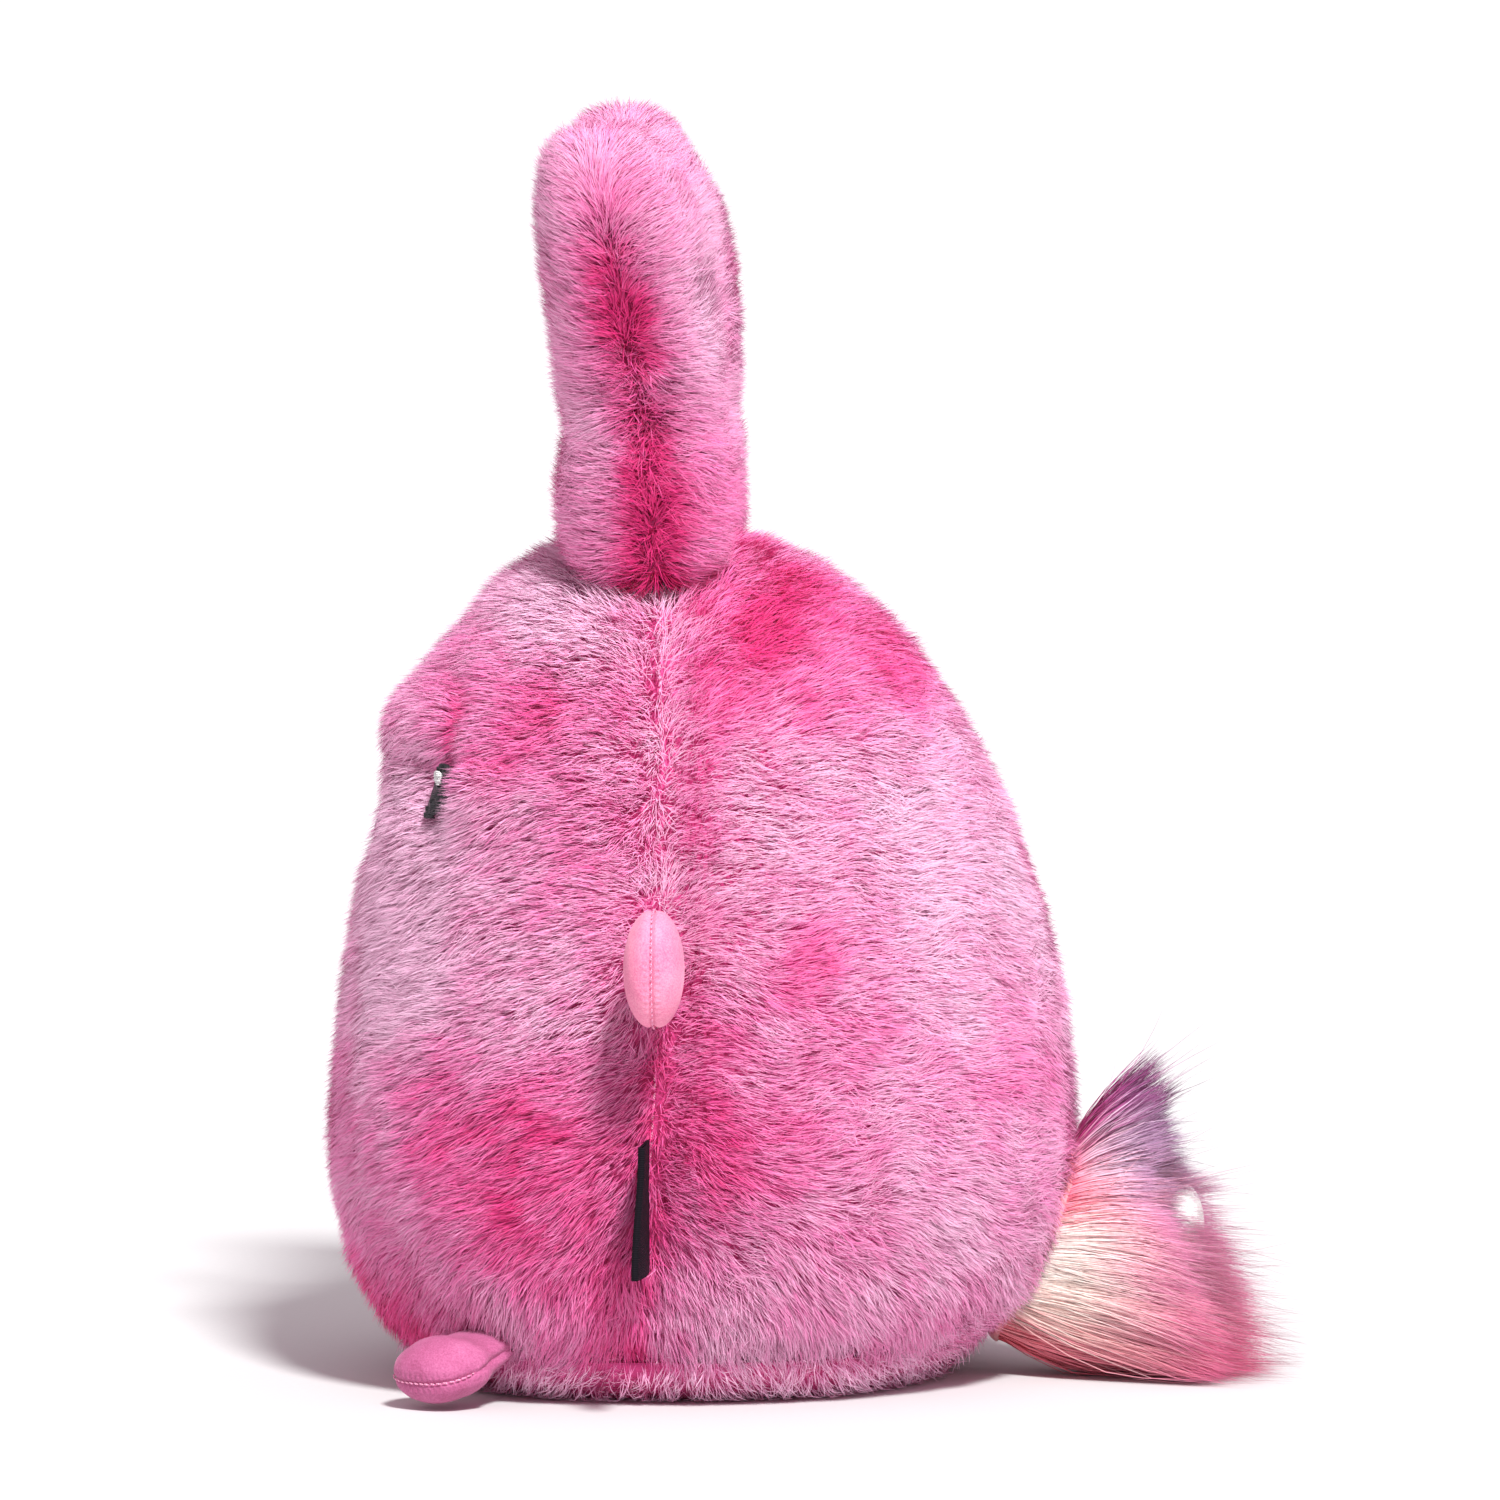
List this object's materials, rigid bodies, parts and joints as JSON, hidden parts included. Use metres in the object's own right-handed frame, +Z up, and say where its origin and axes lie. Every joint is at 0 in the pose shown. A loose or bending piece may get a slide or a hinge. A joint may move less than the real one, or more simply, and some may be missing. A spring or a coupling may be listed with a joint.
{
  "type": "plush bunny",
  "caption": "Sitting plush bunny with an egg-shaped furry body, two upright padded ears, short velour arm and foot pads and a long-pile tail.",
  "frame": {"origin": "middle of the flat face of the base panel that the bunny sits on", "axes": "+Z up, the face looks along -Y, the bunny's left side is +X"},
  "size_m": [0.3612, 0.329, 0.4479],
  "materials": {
    "fur": "tie-dyed short faux fur, about 10 mm pile",
    "velour": "short-nap velour",
    "polyester_fill": "loose polyester fibre",
    "thread": "polyester sewing thread",
    "black_stitching": "satin-stitch embroidery",
    "white_stitching": "satin-stitch embroidery",
    "nose_stitching": "satin-stitch embroidery",
    "tail_fur": "long multicolour faux fur",
    "ribbon": "blank woven satin ribbon"
  },
  "bodies": {
    "body": {"body_front_panel": "fur", "body_back_panel": "fur", "base_panel": "fur", "body_fill": "polyester_fill", "left_side_seam": "thread", "right_side_seam": "thread", "base_seam": "thread", "closing_stitches": "thread", "left_eye": "black_stitching", "right_eye": "black_stitching", "left_eye_highlight": "white_stitching", "right_eye_highlight": "white_stitching", "nose": "nose_stitching", "mouth_stitches": "black_stitching"},
    "left_ear": {"left_ear_front_panel": "fur", "left_ear_back_panel": "fur", "left_ear_fill": "polyester_fill", "left_ear_edge_seam": "thread"},
    "left_arm": {"left_arm_front_panel": "velour", "left_arm_back_panel": "velour", "left_arm_fill": "polyester_fill", "left_arm_edge_seam": "thread"},
    "left_foot": {"left_foot_top_panel": "velour", "left_foot_sole_panel": "velour", "left_foot_fill": "polyester_fill", "left_foot_edge_seam": "thread"},
    "right_ear": {"right_ear_front_panel": "fur", "right_ear_back_panel": "fur", "right_ear_fill": "polyester_fill", "right_ear_edge_seam": "thread"},
    "right_arm": {"right_arm_front_panel": "velour", "right_arm_back_panel": "velour", "right_arm_fill": "polyester_fill", "right_arm_edge_seam": "thread"},
    "right_foot": {"right_foot_top_panel": "velour", "right_foot_sole_panel": "velour", "right_foot_fill": "polyester_fill", "right_foot_edge_seam": "thread"},
    "tail_root": {"tail_gather": "thread"},
    "tail": {"tail_fur_pouch": "tail_fur", "tail_fill": "polyester_fill"},
    "label": {"side_label": "ribbon"}
  },
  "joints": [
    {"name": "left_ear_bend", "type": "hinge", "parent": "body", "child": "left_ear", "pos_m": [0.045, -0.018, 0.32408], "axis": [0.9903, 0, -0.1392], "range_deg": [-60, 60], "stiffness_Nm_per_rad": 0.35},
    {"name": "right_ear_bend", "type": "hinge", "parent": "body", "child": "right_ear", "pos_m": [-0.045, -0.018, 0.32408], "axis": [0.9903, 0, 0.1392], "range_deg": [-60, 60], "stiffness_Nm_per_rad": 0.35},
    {"name": "left_arm_swing", "type": "hinge", "parent": "body", "child": "left_arm", "pos_m": [0.13962, -0.00738, 0.16], "axis": [-0.1045, 0, 0.9945], "range_deg": [-40, 40], "stiffness_Nm_per_rad": 0.02},
    {"name": "right_arm_swing", "type": "hinge", "parent": "body", "child": "right_arm", "pos_m": [-0.13962, -0.00738, 0.16], "axis": [-0.1045, 0, -0.9945], "range_deg": [-40, 40], "stiffness_Nm_per_rad": 0.02},
    {"name": "left_foot_lift", "type": "hinge", "parent": "body", "child": "left_foot", "pos_m": [0.106, -0.0747, 0.018], "axis": [0.6428, 0.766, 0], "range_deg": [0, 25], "stiffness_Nm_per_rad": 0.03},
    {"name": "right_foot_lift", "type": "hinge", "parent": "body", "child": "right_foot", "pos_m": [-0.106, -0.0747, 0.018], "axis": [0.6428, -0.766, 0], "range_deg": [0, 25], "stiffness_Nm_per_rad": 0.03},
    {"name": "tail_wag", "type": "hinge", "parent": "body", "child": "tail_root", "pos_m": [0, 0.13282, 0.044], "axis": [0, 0, 1], "range_deg": [-20, 20], "stiffness_Nm_per_rad": 0.05},
    {"name": "tail_lift", "type": "hinge", "parent": "tail_root", "child": "tail", "pos_m": [0, 0.13282, 0.044], "axis": [1, 0, 0], "range_deg": [0, 15], "stiffness_Nm_per_rad": 0.05},
    {"name": "label_fold", "type": "hinge", "parent": "body", "child": "label", "pos_m": [0.14368, -0.01125, 0.073], "axis": [0, 0, 1], "range_deg": [-60, 60], "stiffness_Nm_per_rad": 0.001}
  ]
}
